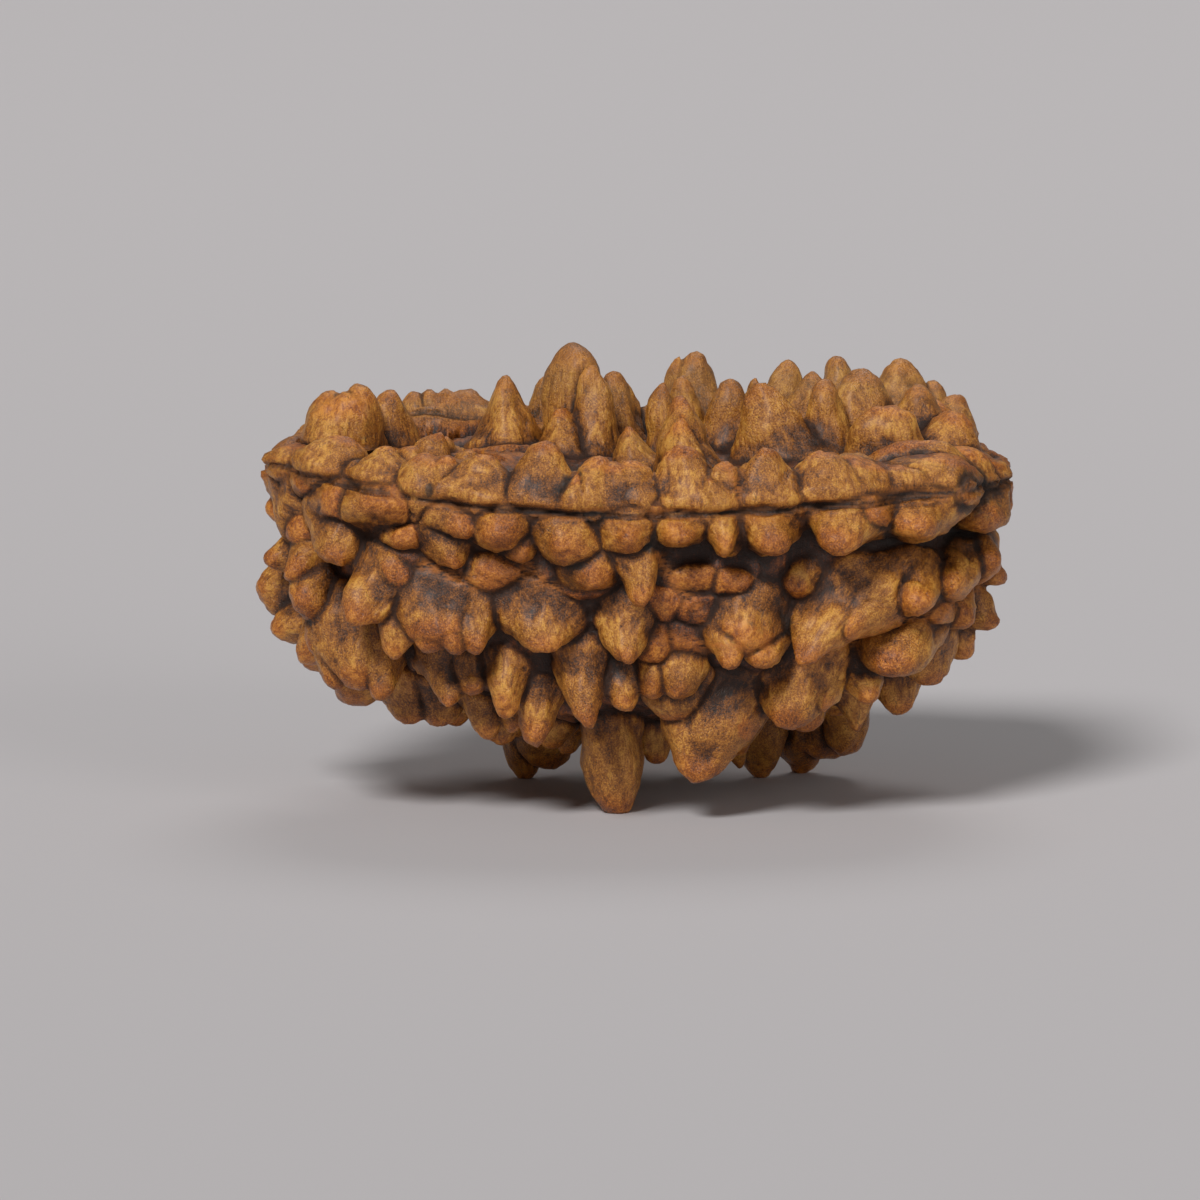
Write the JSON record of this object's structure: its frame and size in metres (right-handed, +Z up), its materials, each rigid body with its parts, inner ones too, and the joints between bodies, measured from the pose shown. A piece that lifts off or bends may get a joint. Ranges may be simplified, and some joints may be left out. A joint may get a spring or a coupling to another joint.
{
  "type": "rudraksha seed",
  "caption": "Dried rudraksha seed lying on its side: an oval woody stone, ringed by a seam and covered in blunt and pointed knobs.",
  "frame": {"origin": "centre of the bounding box at the height of the surface that the seed rests on", "axes": "+X along the seed from pole to pole, to the right in the picture; -Y towards the viewer; +Z up"},
  "size_m": [0.0304, 0.0222, 0.0181],
  "materials": {
    "husk": "satin ochre to reddish brown woody husk, with polished knob tips and dark crevices"
  },
  "bodies": {
    "root": {"rudraksha_seed": "husk"}
  },
  "joints": []
}
